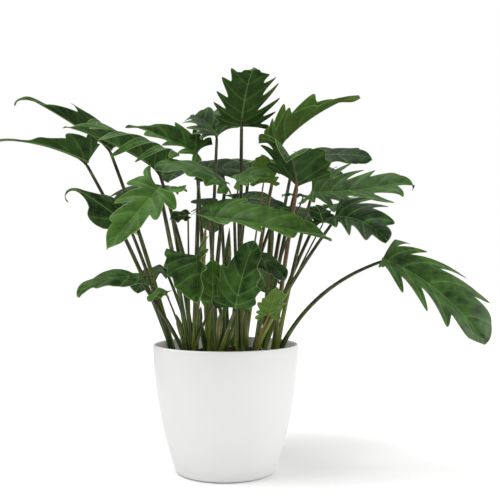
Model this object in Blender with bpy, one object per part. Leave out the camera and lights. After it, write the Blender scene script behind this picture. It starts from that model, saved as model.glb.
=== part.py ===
# Potted xanadu philodendron in a plain white cover pot.
# Metres, +Z up. The origin is the middle of the pot's flat base, and -Y is the front.

import math
from dataclasses import dataclass

import bpy
import numpy as np
from mathutils import Vector
from mathutils.geometry import delaunay_2d_cdt

MM = 0.001
GAP = 0.3 * MM

# Pot, all in millimetres: a turned wall that widens upwards
POT_SIDES = 48
POT_FOOT_RADIUS = 54.0
# The outer wall as (height, radius)
POT_PROFILE = (
    (4, 62.0), (15, 66.6), (32, 71.4), (54, 76.9),
    (76, 81.9), (104, 85.9), (130, 88.6), (154, 89.8),
)
POT_RIM_HEIGHT = 157.0
POT_WALL = 4.0
POT_FLOOR = 5.0
POT_SOLE = 9.0  # the inner wall starts above this height
POT_HEEL = (59.0, 1.0)  # radius and height of the rounded edge under the wall

# Soil: its top lies below the rim
SOIL_TOP = 137.0

# Crowns: the short stems of the plants in the pot, each in its own hole in the soil
CROWN_RADIUS = 8.0
CROWN_DEPTH = 25.0
CROWN_HEIGHT = 11.0
CROWN_SLOPE = 5.0
CROWN_SIDES = 12
CROWNS = {
    "left": (-60.0, -8.0),
    "left_front": (-40.0, -38.0),
    "front": (-8.0, -54.0),
    "right_front": (28.0, -46.0),
    "right": (58.0, -4.0),
    "right_back": (44.0, 36.0),
    "back": (4.0, 54.0),
    "left_back": (-40.0, 32.0),
    "left_middle": (-20.0, -6.0),
    "right_middle": (18.0, 0.0),
}

# Petioles, the leaf stalks
STALK_SIDES = 6
STALK_RINGS = 8
FOOT_REACH = 1.6
FOOT_STEP = 1.2
PETIOLE_FOOT_RADIUS = 3.7
PETIOLE_RADIUS = 3.0
PETIOLE_TIP_RADIUS = 2.0

# Blades
BLADE_THICKNESS = 0.8
LOBE_START = -0.06
LOBE_LEAN = 1.7         # more than 1 puts each lobe's tip towards the leaf's tip
LOBE_TILT = 3.0         # how far a lobe's tip stands above or below its neighbours
LOBE_DROOP = 0.05       # how far a lobe's tip hangs, as a share of the half width
TERMINAL_RISE = 0.10    # stretch over which the terminal lobe gets its full width
TERMINAL_BLUNT = 0.8
RIB_SAMPLES = 64
ROOT_REACH = 0.95       # where the last vein leaves the midrib, as a share of the length
# Veins whose ends and roots become points of the outline, the midrib and the inside
LOBE_PHASES = (0.0, 0.42, 0.66, 0.86)
RIB_VEINS = (0.5, 0.66, 0.78, 0.88, 0.95)
INNER_PHASE = 0.62
INNER_SHARES = (0.45,)
BENT_SHARES = (0.3, 0.62)
STRONG_BEND = 60        # a half that turns over by more than this has two rows of inner points
SEED = 7


@dataclass
class Leaf:
    """One leaf: lengths in millimetres, angles in degrees, pairs for the left and the right half."""
    crown: str
    joint: tuple            # where the petiole meets the blade
    heading: float          # direction of the midrib seen from above, 0 is +X
    pitch: tuple            # climb of the midrib at the petiole and at the tip
    length: float           # along the midrib
    width: float = 0.40     # half width as a share of the length
    base: float = 0.5       # width at the base as a share of the greatest width
    cut: float = 0.5        # depth of the cuts between lobes, as a share of the half width
    lobes: int = 4          # lobes on each side below the terminal lobe
    terminal: float = 0.80  # where the terminal lobe starts, as a share of the veins
    fold: tuple = (12, 12)  # climb of the halves from the midrib
    bend: tuple = (-36, -36)  # how far the halves turn over on their way to the margin
    roll: float = 0         # turn about the midrib at the petiole, right side down
    twist: float = 0        # how much the roll grows on the way to the tip
    hook: float = 0         # curl of the last stretch before the tip
    hook_start: float = 0.84  # where that stretch starts, as a share of the length
    taper: float = 0.85     # how slim the blade's ends are, 1 and more for a long thin tip
    blunt: float = 0.5      # how round the lobes' tips are
    finger: float = 1.0     # how slim the lobes are for the width of their cuts
    sweep: float = 0.92     # less makes the veins and the lobes lean further towards the tip
    reach: tuple = ()       # how far each lobe of the two halves reaches, where it isn't drawn by lot
    back: float = 0.18      # reach of the basal lobes behind the joint, as a share of the length
    wave: float = 2.5       # height of the margin's waves
    arch: float = 0.05      # bow of the petiole, as a share of its length


LEAVES = (
    # The leaves that the front shows, from left to right
    Leaf("left", (-172, 0, 382), 184, (28, -4), 128, fold=(84, 70), bend=(-20, -30), cut=0.3, width=0.29,
         base=1.0, back=0.0, taper=3.0, reach=((0.9, 0.85, 0.75, 0.65, 1), (0.9, 0.85, 0.75, 0.65, 1))),
    Leaf("left", (-149, 38, 403), 180, (36, 26), 150, fold=(84, 40), bend=(-150, -40), cut=0.45, width=0.4,
         base=0.9, hook=-110, hook_start=0.8, back=0.1, taper=3.4),
    Leaf("left_middle", (-77, -30, 366), 186, (36, 14), 130, fold=(96, 14), bend=(-165, -40), twist=-60,
         width=0.54, base=0.9, lobes=5, back=0.08, taper=1.5, blunt=0.3,
         reach=((1, 1.1, 1.15, 1.1, 1, 1), (0.7, 0.7, 0.7, 0.8, 1, 1))),
    Leaf("left_middle", (-39, 46, 399), 182, (30, 14), 100, fold=(6, 70), roll=-14, width=0.36, base=0.8,
         taper=1.6, blunt=0.2),
    Leaf("left_middle", (-12, 36, 420), 120, (40, 16), 82, fold=(8, 62), width=0.48, base=0.85, back=0.22,
         lobes=5, terminal=0.88, cut=0.45, blunt=0.2,
         reach=((0.75, 0.8, 0.9, 1, 1, 1), (0.9, 1, 1.1, 1.05, 1, 1))),
    Leaf("right_middle", (19, -10, 425), 283, (67, 12), 94, fold=(6, 6), bend=(20, 20), width=0.5,
         base=0.85, lobes=6, terminal=0.9, cut=0.5, back=0.06, blunt=0.35, finger=1.1, sweep=0.95,
         reach=((0.9, 1, 1.05, 1.05, 1.05, 1.05, 1), (0.75, 0.75, 0.8, 0.85, 0.95, 1.2, 1))),
    Leaf("right_middle", (64, 5, 401), -8, (48, 16), 122, fold=(84, 34), bend=(-10, -10), width=0.5,
         base=0.85, back=0.18, taper=3.0, terminal=0.7, cut=0.6, blunt=0.25, finger=1.3, sweep=0.8,
         reach=((0.25, 0.45, 0.74, 0.92, 1), (0.9, 0.78, 0.75, 0.8, 1))),
    Leaf("right", (86, -44, 348), 260, (46, -20), 100, fold=(34, 58), width=0.56, base=0.9, cut=0.3,
         back=0.0, blunt=0.3, reach=((0.8, 0.8, 0.8, 0.8, 1), (1, 1, 1, 1, 1))),
    Leaf("right_back", (99, 60, 395), -6, (10, -12), 93, fold=(10, 0), roll=30, lobes=4, cut=0.45,
         terminal=0.86, blunt=0.3, taper=0.6, reach=((1, 1, 1, 1, 1), (0.6, 0.62, 0.62, 0.7, 1))),
    Leaf("right", (106, -8, 344), -18, (-2, 14), 128, fold=(44, 0), roll=20, hook=-50, hook_start=0.78,
         lobes=6, cut=0.6, terminal=0.9, back=0.2, width=0.42, base=0.95, blunt=0.4, finger=1.0, sweep=0.75,
         reach=((1.1, 1.1, 1, 0.9, 0.8, 0.8, 1), (0.6, 0.55, 0.7, 1, 1.2, 1.3, 1))),
    Leaf("right_front", (126, -88, 310), -44, (0, -44), 80, fold=(42, 16), roll=26, width=0.48, base=0.85,
         back=0.05, cut=0.5, lobes=4, terminal=0.86, blunt=0.4, finger=1.0, sweep=0.65,
         reach=((1, 0.9, 0.95, 1, 1), (0.6, 0.75, 0.9, 1, 1))),
    Leaf("right", (192, -20, 262), -14, (-22, -58), 160, roll=50, fold=(2, 42), arch=0.15, back=-0.02,
         width=0.4, base=0.85, cut=0.6, terminal=0.77, taper=0.55, blunt=0.4,
         reach=((1, 0.8, 1.08, 1.15, 1), (0.5, 0.85, 0.95, 0.95, 1))),
    Leaf("left_front", (-70, -116, 340), 211, (-46, -50), 91, width=0.38, base=0.95, cut=0.46,
         fold=(30, 12), roll=-50, back=0.3, blunt=0.7, finger=0.75,
         reach=((0.85, 1, 0.95, 0.8, 1), (0.95, 1.1, 1.1, 0.95, 1))),
    Leaf("left", (-114, -20, 298), 188, (42, 26), 108, width=0.22, cut=0.04, fold=(0, 0), roll=-62,
         hook=-180, hook_start=0.7, taper=6.0),
    Leaf("left_front", (-100, -40, 238), 204, (14, -40), 84, width=0.28, cut=0.08, roll=-24, hook=-60,
         back=0.26, taper=1.3),
    Leaf("left_front", (-30, -98, 266), 278, (-50, -86), 58, width=0.66, base=0.9, cut=0.1, fold=(80, 6),
         bend=(-20, -36), back=0.26, reach=((0.5, 0.4, 0.4, 0.5, 0.7), (1, 1, 1, 1, 1))),
    Leaf("front", (14, -112, 208), 20, (80, 66), 78, roll=55, width=0.36, base=0.75, cut=0.15, back=0.06,
         wave=4.5, reach=((1.2, 1.25, 1.05, 0.9, 1), (0.65, 0.75, 0.7, 0.75, 0.9))),
    Leaf("right_front", (50, -80, 197), 300, (70, 30), 42, width=0.5, cut=0.4, lobes=4),
    Leaf("right_front", (26, -44, 264), -20, (0, -60), 58, cut=0.15, lobes=3, roll=20, width=0.44),
    Leaf("front", (-15, -92, 309), -8, (-6, -16), 140, width=0.29, base=0.6, cut=0.3, roll=20,
         fold=(38, 24), back=0.18, taper=1.1, reach=((1.5, 1.1, 1, 1, 1), (0.6, 0.8, 1, 1, 1))),
    Leaf("right_middle", (8, 52, 338), -6, (14, -44), 79, width=0.44, cut=0.15, roll=24),
    Leaf("left_middle", (2, -48, 348), 206, (37, -12), 95, width=0.48, base=0.8, cut=0.45, fold=(0, 20),
         bend=(-60, -36), roll=-16, blunt=0.3,
         reach=((0.4, 0.8, 0.75, 0.85, 1), (0.9, 0.75, 0.65, 0.75, 1))),
    Leaf("left_back", (-39, 73, 377), 10, (22, -28), 78, width=0.4, cut=0.3, roll=38),
    Leaf("right_middle", (47, -8, 356), 256, (84, 56), 35, width=0.64, base=0.7, cut=0.35, fold=(20, 20)),
    Leaf("right_middle", (14, -36, 355), -12, (30, -10), 42, width=0.6, cut=0.3, lobes=3, roll=34),
    Leaf("right_front", (98, 22, 342), 186, (10, -10), 28, width=0.36, cut=0.1, lobes=3),
    Leaf("right_back", (124, 34, 308), 250, (50, 8), 42, cut=0.3, lobes=3, width=0.46),
    Leaf("left_front", (-12, -91, 214), 96, (88, 78), 48, cut=0.2, lobes=3, width=0.38, wave=3.5),
    Leaf("left_front", (-44, -36, 314), 190, (10, -40), 24, cut=0.1, lobes=3, roll=-50),
    Leaf("left_front", (-66, -68, 222), 186, (20, -70), 26, cut=0.1, lobes=3, width=0.3, roll=-40),
    # The leaves towards the back
    Leaf("left_back", (-80, 70, 356), 140, (12, -40), 112),
    Leaf("left_back", (-40, 110, 392), 118, (14, -28), 118),
    Leaf("back", (30, 120, 396), 84, (16, -30), 126),
    Leaf("right_back", (86, 90, 384), 48, (14, -26), 112),
    Leaf("right_back", (125, 58, 330), 28, (8, -34), 104),
    Leaf("back", (66, 110, 330), 62, (10, -40), 108),
    Leaf("back", (-10, 120, 332), 100, (8, -44), 104),
    Leaf("back", (-28, 118, 250), 104, (-5, -50), 88, cut=0.35, back=0.12),
    Leaf("left_back", (-84, 84, 250), 136, (-8, -50), 76, cut=0.4, back=0.12),
    Leaf("back", (38, 118, 248), 76, (-5, -50), 80, cut=0.4, back=0.12),
)

# Leaves still rolled up and the sheaths of old ones, as (crown, tip in mm, thickest radius in mm)
SPEARS = (
    ("front", (6.0, -66.0, 296.0), 4.2),
    ("left_front", (-22.0, -54.0, 300.0), 3.6),
    ("right_back", (60.0, 52.0, 322.0), 3.8),
    ("left_front", (-56.0, -58.0, 196.0), 3.4),
    ("left_front", (-27.0, -66.0, 206.0), 3.6),
    ("front", (-4.0, -84.0, 200.0), 3.8),
    ("front", (12.0, -76.0, 186.0), 4.0),
    ("right_front", (24.0, -70.0, 198.0), 3.8),
    ("right_front", (46.0, -62.0, 210.0), 3.4),
)

LEAF_GREEN = (0.030, 0.075, 0.018, 1.0)
PETIOLE_BROWN = (0.050, 0.055, 0.018, 1.0)
SOIL_BROWN = (0.030, 0.020, 0.013, 1.0)
POT_WHITE = (0.80, 0.80, 0.79, 1.0)


def clear_scene():
    """Remove every object of the startup scene."""
    for obj in list(bpy.data.objects):
        bpy.data.objects.remove(obj)


def make_material(name, colour, roughness):
    """A Principled material of one colour."""
    material = bpy.data.materials.new(name)
    material.use_nodes = True
    shader = material.node_tree.nodes["Principled BSDF"]
    shader.inputs["Base Color"].default_value = colour
    shader.inputs["Roughness"].default_value = roughness
    shader.inputs["Metallic"].default_value = 0.0
    material.diffuse_color = colour
    return material


def add_object(name, points, faces, material):
    """A mesh object from points in metres and faces that point outwards."""
    mesh = bpy.data.meshes.new(name)
    mesh.from_pydata([tuple(point) for point in points], [], faces)
    mesh.materials.append(material)
    mesh.shade_smooth()
    mesh.set_sharp_from_angle(angle=math.radians(40))
    obj = bpy.data.objects.new(name, mesh)
    bpy.context.collection.objects.link(obj)
    return obj


def tube_faces(rings, sides):
    """Faces of a closed tube whose points run round one ring after another."""
    faces = [tuple(reversed(range(sides)))]
    for ring in range(rings - 1):
        for i in range(sides):
            a = ring * sides + i
            b = ring * sides + (i + 1) % sides
            faces.append((a, b, b + sides, a + sides))
    faces.append(tuple(range((rings - 1) * sides, rings * sides)))
    return faces


def turned_solid(name, profile, sides, material, centre=(0.0, 0.0)):
    """A solid turned from (radius, height) pairs in metres, with a flat face at each end."""
    x, y = centre
    points = []
    for radius, height in profile:
        for i in range(sides):
            angle = 2 * math.pi * i / sides
            points.append((x + radius * math.cos(angle), y + radius * math.sin(angle), height))
    return add_object(name, points, tube_faces(len(profile), sides), material)


def gather(name, objects):
    """A collection that holds the helpers of one Boolean."""
    collection = bpy.data.collections.new(name)
    bpy.context.scene.collection.children.link(collection)
    for obj in objects:
        bpy.context.collection.objects.unlink(obj)
        collection.objects.link(obj)
    return collection


def pot_outer_radius(height):
    """Outer radius of the pot at a height, in millimetres."""
    heights = [0.0] + [h for h, r in POT_PROFILE]
    radii = [POT_FOOT_RADIUS] + [r for h, r in POT_PROFILE]
    return float(np.interp(height, heights, radii))


def build_pot(material):
    """The pot: outer wall up to a rounded lip, then down the inner wall to the floor."""
    lip = POT_WALL / 2
    outer = [(POT_FOOT_RADIUS, 0.0), POT_HEEL]
    outer += [(radius, height) for height, radius in POT_PROFILE]
    centre = POT_PROFILE[-1][1] - lip
    for turn in (35, 90, 145):
        angle = math.radians(turn)
        outer.append((centre + lip * math.cos(angle), POT_RIM_HEIGHT - lip + lip * math.sin(angle)))
    inner = [(radius - POT_WALL, height) for height, radius in reversed(POT_PROFILE) if height > POT_SOLE]
    inner.append((POT_FOOT_RADIUS, POT_FLOOR))
    profile = [(radius * MM, height * MM) for radius, height in outer + inner]
    return turned_solid("pot", profile, POT_SIDES, material)


def build_soil(material):
    """The soil: fills the pot up to its top, with a plain hole for each crown."""
    slack = GAP / MM
    lower = [(radius - POT_WALL - slack, height) for height, radius in POT_PROFILE
             if POT_SOLE < height < SOIL_TOP - 2]
    top_radius = pot_outer_radius(SOIL_TOP) - POT_WALL - 2 * slack
    profile = [(POT_FOOT_RADIUS - slack, POT_FLOOR + slack)]
    profile += lower
    profile.append((top_radius, SOIL_TOP))
    profile = [(radius * MM, height * MM) for radius, height in profile]
    soil = turned_solid("soil", profile, POT_SIDES, material)
    bottom = (SOIL_TOP - CROWN_DEPTH) * MM
    top = (SOIL_TOP + 5) * MM
    radius = CROWN_RADIUS * MM / math.cos(math.pi / CROWN_SIDES) + GAP
    holes = []
    for x, y in CROWNS.values():
        centre = (x * MM, y * MM)
        holes.append(turned_solid("hole", [(radius, bottom), (radius, top)], CROWN_SIDES, material, centre))
    apply_boolean(soil, gather("soil_holes", holes), "DIFFERENCE")
    return soil


def apply_boolean(obj, collection, operation):
    """Join or cut an object with all of a collection's objects, and remove those objects."""
    modifier = obj.modifiers.new("boolean", "BOOLEAN")
    modifier.operation = operation
    modifier.operand_type = "COLLECTION"
    modifier.collection = collection
    modifier.solver = "EXACT"
    graph = bpy.context.evaluated_depsgraph_get()
    result = bpy.data.meshes.new_from_object(obj.evaluated_get(graph))
    obj.modifiers.remove(modifier)
    obj.data = result
    for helper in list(collection.objects):
        bpy.data.objects.remove(helper)
    bpy.data.collections.remove(collection)


def rib_frames(leaf, along):
    """Places, directions, right-hand sides and upper normals of the midrib at distances along it."""
    t = np.linspace(0.0, 1.0, RIB_SAMPLES)
    curl = np.clip((t - leaf.hook_start) / (1 - leaf.hook_start), 0.0, 1.0) ** 1.5
    climb = np.radians(leaf.pitch[0] + (leaf.pitch[1] - leaf.pitch[0]) * t + leaf.hook * curl)
    heading = math.radians(leaf.heading)
    out = np.array([math.cos(heading), math.sin(heading), 0.0])
    up = np.array([0.0, 0.0, 1.0])
    steps = np.outer(np.cos(climb), out) + np.outer(np.sin(climb), up)
    middle = (steps[1:] + steps[:-1]) / 2
    places = np.vstack([np.zeros(3), np.cumsum(middle, axis=0)]) * leaf.length / (RIB_SAMPLES - 1)
    share = np.clip(along / leaf.length, 0.0, 1.0)
    place = np.stack([np.interp(share, t, places[:, k]) for k in range(3)], axis=1)
    place += np.outer(np.minimum(along, 0.0), steps[0])
    climb = np.interp(share, t, climb)
    forward = np.outer(np.cos(climb), out) + np.outer(np.sin(climb), up)
    right = np.tile([math.sin(heading), -math.cos(heading), 0.0], (len(along), 1))
    upper = np.cross(right, forward)
    roll = np.radians(leaf.roll + leaf.twist * share)[:, None]
    rolled_right = right * np.cos(roll) - upper * np.sin(roll)
    rolled_upper = upper * np.cos(roll) + right * np.sin(roll)
    return place + np.array(leaf.joint, float), forward, rolled_right, rolled_upper


def leaf_chance(leaf, number):
    """The seeded differences between one leaf and the next."""
    draw = np.random.default_rng(SEED * 1000 + number)
    lobes = leaf.lobes + 1
    chance = {
        "cuts": draw.uniform(0.8, 1.15, (2, lobes + 1)),
        "tips": draw.uniform(0.86, 1.08, (2, lobes)),
        "wave": draw.uniform(0.0, 1.0),
        "tilts": draw.uniform(-1.0, 1.0, (2, lobes)),
    }
    if leaf.reach:
        chance["tips"] = np.array(leaf.reach, float)
    return chance


def lobe_number(leaf, s):
    """The lobe that the vein with number s belongs to, and how far the vein lies into it."""
    place = (s - LOBE_START) / (leaf.terminal - LOBE_START) * leaf.lobes
    lobe = np.clip(np.floor(place).astype(int), 0, leaf.lobes)
    return lobe, np.clip(place - lobe, 0.0, 1.0)


def margin_reach(leaf, chance, side, s):
    """How far along each vein the margin lies: near 1 at a lobe's tip, less in the cut beside it."""
    half = (side > 0).astype(int)
    lobe, phase = lobe_number(leaf, s)
    last = lobe == leaf.lobes
    ending = np.clip((s - leaf.terminal) / TERMINAL_RISE, 0.0, 1.0) * 0.5
    phase = np.where(last, ending, phase ** LOBE_LEAN)
    blunt = np.where(last, TERMINAL_BLUNT, leaf.blunt)
    most = np.sqrt(1 + blunt ** 2)
    climb = (most - np.sqrt((2 * phase - 1) ** 2 + blunt ** 2)) / (most - blunt)
    cut_share = 0.5 + 0.5 * np.sin(np.pi * np.arange(leaf.lobes + 2) / leaf.lobes)
    cuts = leaf.cut * np.clip(cut_share, 0.5, 1.0) * chance["cuts"]
    valley = 1 - cuts[half, np.where(phase < 0.5, lobe, lobe + 1)]
    crest = np.where(last, 1.0, chance["tips"][half, lobe])
    return valley + (crest - valley) * np.clip(climb, 0.0, 1.0) ** leaf.finger


def flat_point(leaf, s, q):
    """Place on the flat blade, across and along, at share q of the vein with number s from 0 to 1."""
    slope = 2 * (1 - leaf.base) + 2 * math.sqrt(1 - leaf.base)
    shape = np.maximum(leaf.base + slope * s - (leaf.base + slope) * s ** 2, 0.0) ** leaf.taper
    tip_across = leaf.length * leaf.width * shape
    tip_along = leaf.length * (-leaf.back + (1 + leaf.back) * s ** leaf.sweep)
    root_along = ROOT_REACH * leaf.length * s ** 2.5
    curve = 1.4 + 0.7 * np.clip(1 - s / 0.35, 0.0, 1.0)
    return tip_across * q, root_along + (tip_along - root_along) * q ** curve


def shaped_point(leaf, chance, side, s, q):
    """Place in the room of a point of the blade; side is +1 right of the midrib and -1 left."""
    across, along = flat_point(leaf, s, q)
    place, forward, right, upper = rib_frames(leaf, along)
    half_width = leaf.length * leaf.width
    half = (side > 0).astype(int)
    # Each half leaves the midrib at its fold and turns over evenly: the point is the end of an arc's chord
    turn = np.radians(np.array(leaf.bend)[half]) * across / half_width
    lift = np.radians(np.array(leaf.fold)[half]) + turn / 2
    chord = across * np.sinc(turn / 2 / np.pi)
    wave = leaf.wave * q ** 2 * np.sin(2 * np.pi * (2.2 * s + chance["wave"] + 0.25 * side))
    outside = np.clip((q - 1 + leaf.cut) / max(leaf.cut, 0.2), 0.0, 1.0) ** 2
    lobe = lobe_number(leaf, s)[0]
    tilt = chance["tilts"][half, lobe] * LOBE_TILT * min(leaf.length / 90, 1)
    rise = chord * np.sin(lift) + wave + outside * (tilt - LOBE_DROOP * half_width)
    out = side * chord * np.cos(lift)
    return place + right * out[:, None] + upper * rise[:, None]


def blade_parameters(leaf, chance):
    """The outline, the midrib and the inner points of a blade, each as (side, s, q)."""
    step = (leaf.terminal - LOBE_START) / leaf.lobes
    rows = [0.0]
    for lobe in range(leaf.lobes):
        rows += [LOBE_START + (lobe + phase) * step for phase in LOBE_PHASES]
    full = leaf.terminal + TERMINAL_RISE
    rows += [leaf.terminal, leaf.terminal + 0.4 * TERMINAL_RISE, full, (full + 1) / 2]
    rows = np.array(sorted(s for s in rows if s >= 0.0))
    sides = np.ones_like(rows)
    right = [(1, s, q) for s, q in zip(rows, margin_reach(leaf, chance, sides, rows))]
    left = [(-1, s, q) for s, q in zip(rows, margin_reach(leaf, chance, -sides, rows))]
    outline = [(1, 0.0, 0.0)] + right + [(1, 1.0, 0.0)] + left[::-1]
    rib = [(1, s, 0.0) for s in RIB_VEINS]
    inner = []
    for side, bend in zip((-1, 1), leaf.bend):
        shares = BENT_SHARES if abs(bend) > STRONG_BEND else INNER_SHARES
        centres = [LOBE_START + (lobe + INNER_PHASE) * step for lobe in range(leaf.lobes)] + [full]
        reach = margin_reach(leaf, chance, np.full(len(centres), side), np.array(centres))
        inner += [(side, s, q * share) for s, q in zip(centres, reach) for share in shares]
    return outline, rib, inner


def build_blade(name, leaf, number, material):
    """One blade: its flat outline cut into triangles, carried to its place, and given a thickness."""
    chance = leaf_chance(leaf, number)
    outline, rib, inner = blade_parameters(leaf, chance)
    parameters = outline + rib + inner
    side, s, q = (np.array(column, float) for column in zip(*parameters))
    across, along = flat_point(leaf, s, q)
    flat = [Vector((x, y)) for x, y in zip(side * across, along)]
    count = len(outline)
    edges = [(i, (i + 1) % count) for i in range(count)]
    tip = 1 + (count - 2) // 2
    chain = [0] + list(range(count, count + len(rib))) + [tip]
    edges += list(zip(chain, chain[1:]))
    made = delaunay_2d_cdt(flat, edges, [], 1, 1e-5)
    source = [origin[0] for origin in made[3]]
    points = shaped_point(leaf, chance, side, s, q)[source] * MM
    faces = [tuple(face) for face in made[2]]
    blade = add_object(name, points, faces, material)
    solid = blade.modifiers.new("thickness", "SOLIDIFY")
    solid.thickness = BLADE_THICKNESS * MM
    solid.offset = 0.0
    return blade


def bow_direction(chord):
    """The way that a petiole bows: upwards, square to the straight line between its ends."""
    return np.array([0.0, 0.0, 1.0]) - chord * chord[2]


def petiole_stoutness(leaf):
    """Thickness of a petiole against the usual one: small leaves have thin petioles."""
    return min(max(leaf.length / 90.0, 0.5), 1.0)


def petiole_end(leaf):
    """Where the petiole stops: its round end just clears the folded blade above it."""
    place, forward, right, upper = (frame[0] for frame in rib_frames(leaf, np.array([0.0])))
    x, y = CROWNS[leaf.crown]
    chord = np.array(leaf.joint, float) - np.array([x, y, SOIL_TOP])
    chord /= np.linalg.norm(chord)
    approach = chord / 2 - 2 * leaf.arch * bow_direction(chord)
    approach /= np.linalg.norm(approach)
    first = np.cross(approach, right if abs(approach @ right) < 0.9 else forward)
    first /= np.linalg.norm(first)
    turn = np.linspace(0.0, 2 * math.pi, 24)[:, None]
    rim = first * np.cos(turn) + np.cross(approach, first) * np.sin(turn)
    rim *= PETIOLE_TIP_RADIUS * petiole_stoutness(leaf)
    side = rim @ right
    fold = np.radians(np.where(side > 0, leaf.fold[1], leaf.fold[0]))
    climb = rim @ upper - np.abs(side) * np.tan(fold)
    return place - upper * (BLADE_THICKNESS / 2 + GAP / MM + climb.max())


def foot_in_crown(name, end, order):
    """Where a stalk starts inside its crown: neighbours in order start at different distances and sides."""
    x, y = CROWNS[name]
    towards = math.atan2(end[1] - y, end[0] - x) + (order % 3 - 1) * 0.5
    reach = FOOT_REACH + FOOT_STEP * (order % 3)
    return np.array([x + reach * math.cos(towards), y + reach * math.sin(towards), SOIL_TOP + 1.0])


def stalk_tube(name, start, control, end, shares, radii, material):
    """A stalk on the curve from start to end that control pulls aside, with radii at shares of its way."""
    t = np.linspace(0.0, 1.0, STALK_RINGS)[:, None]
    path = start * (1 - t) ** 2 + 2 * control * t * (1 - t) + end * t ** 2
    heading = 2 * (control - start) * (1 - t) + 2 * (end - control) * t
    heading /= np.linalg.norm(heading, axis=1)[:, None]
    first = np.array([1.0, 0.0, 0.0])
    points = []
    for place, direction, radius in zip(path, heading, np.interp(t[:, 0], shares, radii)):
        first = first - direction * (first @ direction)
        first /= np.linalg.norm(first)
        second = np.cross(direction, first)
        for i in range(STALK_SIDES):
            angle = 2 * math.pi * i / STALK_SIDES
            points.append((place + radius * (first * math.cos(angle) + second * math.sin(angle))) * MM)
    return add_object(name, points, tube_faces(STALK_RINGS, STALK_SIDES), material)


def petiole_tube(leaf, order, material):
    """The petiole of one leaf, bowed outwards on its way from the crown to the blade."""
    end = petiole_end(leaf)
    start = foot_in_crown(leaf.crown, end, order)
    chord = end - start
    length = np.linalg.norm(chord)
    chord /= length
    control = (start + end) / 2 + 2 * leaf.arch * length * bow_direction(chord)
    radii = np.array([PETIOLE_FOOT_RADIUS, PETIOLE_RADIUS, PETIOLE_RADIUS * 0.88, PETIOLE_TIP_RADIUS])
    radii *= petiole_stoutness(leaf)
    return stalk_tube("petiole", start, control, end, (0.0, 0.18, 0.5, 1.0), radii, material)


def spear_tube(crown, tip, thickest, order, material):
    """A leaf that is still rolled up: a thin stalk that swells and ends in a point."""
    end = np.array(tip)
    start = foot_in_crown(crown, end, order)
    radii = (PETIOLE_RADIUS, PETIOLE_RADIUS * 0.8, thickest, thickest * 0.9, 0.7)
    return stalk_tube("spear", start, (start + end) / 2, end, (0.0, 0.45, 0.68, 0.8, 1.0), radii, material)


def build_crown(name, material):
    """A short stem that stands in its hole in the soil, with its petioles and spears grown into it."""
    x, y = CROWNS[name]
    bottom = (SOIL_TOP - CROWN_DEPTH) * MM + GAP
    top = (SOIL_TOP + CROWN_HEIGHT) * MM
    radius = CROWN_RADIUS * MM
    profile = [(radius, bottom), (radius, top - CROWN_SLOPE * MM), (radius * 0.6, top)]
    crown = turned_solid("crown_" + name, profile, CROWN_SIDES, material, (x * MM, y * MM))
    leaves = [leaf for leaf in LEAVES if leaf.crown == name]
    stalks = [petiole_tube(leaf, order, material) for order, leaf in enumerate(leaves)]
    spears = [spear for spear in SPEARS if spear[0] == name]
    stalks += [spear_tube(*spear, len(leaves) + i, material) for i, spear in enumerate(spears)]
    apply_boolean(crown, gather("stalks_" + name, stalks), "UNION")
    return crown


def build_plant():
    """Every part of the potted plant."""
    clear_scene()
    pot_finish = make_material("pot_white", POT_WHITE, 0.55)
    soil_finish = make_material("potting_soil", SOIL_BROWN, 0.95)
    petiole_finish = make_material("petiole_brown", PETIOLE_BROWN, 0.5)
    leaf_finish = make_material("leaf_green", LEAF_GREEN, 0.4)
    build_pot(pot_finish)
    build_soil(soil_finish)
    for name in CROWNS:
        build_crown(name, petiole_finish)
    for number, leaf in enumerate(LEAVES, start=1):
        build_blade("blade_%02d" % number, leaf, number, leaf_finish)


build_plant()
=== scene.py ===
# Potted xanadu philodendron: fine leaves, stalks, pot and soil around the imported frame.
# Shapes are worked out in millimetres as whole numpy arrays, and written to the meshes in metres.

import math

import bpy
import numpy as np
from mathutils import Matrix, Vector


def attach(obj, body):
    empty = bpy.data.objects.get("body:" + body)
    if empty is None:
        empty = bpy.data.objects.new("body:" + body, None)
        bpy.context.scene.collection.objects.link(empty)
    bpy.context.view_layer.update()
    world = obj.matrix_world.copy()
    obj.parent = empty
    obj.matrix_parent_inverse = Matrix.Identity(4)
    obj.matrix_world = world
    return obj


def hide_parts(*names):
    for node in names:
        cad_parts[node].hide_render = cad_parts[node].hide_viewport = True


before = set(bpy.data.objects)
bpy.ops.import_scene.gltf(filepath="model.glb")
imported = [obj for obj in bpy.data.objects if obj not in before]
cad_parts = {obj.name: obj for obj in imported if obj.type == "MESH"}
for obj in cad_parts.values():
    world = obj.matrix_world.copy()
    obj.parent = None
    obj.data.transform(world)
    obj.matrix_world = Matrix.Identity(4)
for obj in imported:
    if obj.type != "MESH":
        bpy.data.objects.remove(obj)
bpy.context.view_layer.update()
print("frame loaded:", len(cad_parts), "nodes")

mm = 0.001
seed = 7

# Camera, floor and lights

cameraSettings = {
    "place": (0.03, -1.0, 0.265),
    "tilt": 90.45,        # degrees from straight down
    "lens": 57.9,
    "sensor": 36.0,
}

lightSettings = {
    # One wide far light reaches the whole floor alike; the others are large soft boxes near the plant
    "keyAngles": (22, 0, -66),   # degrees: tilt from straight down, and turn about the upright
    "keyStrength": 2.1,
    "keyWidth": 36.0,            # degrees of sky that it fills, which softens its shadows
    # name, place, aim, side length in metres, watts
    "boxes": (
        ("fillLight", (1.6, 0.1, 0.7), (0.0, 0.0, 0.25), 0.9, 13.0),
        ("topLight", (-0.1, 0.3, 1.8), (0.0, 0.0, 0.3), 1.2, 8.0),
    ),
    "surround": 0.55,     # strength of the white surroundings as they light the plant
    "backdrop": 1.0,      # their strength as the camera sees them
}

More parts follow.
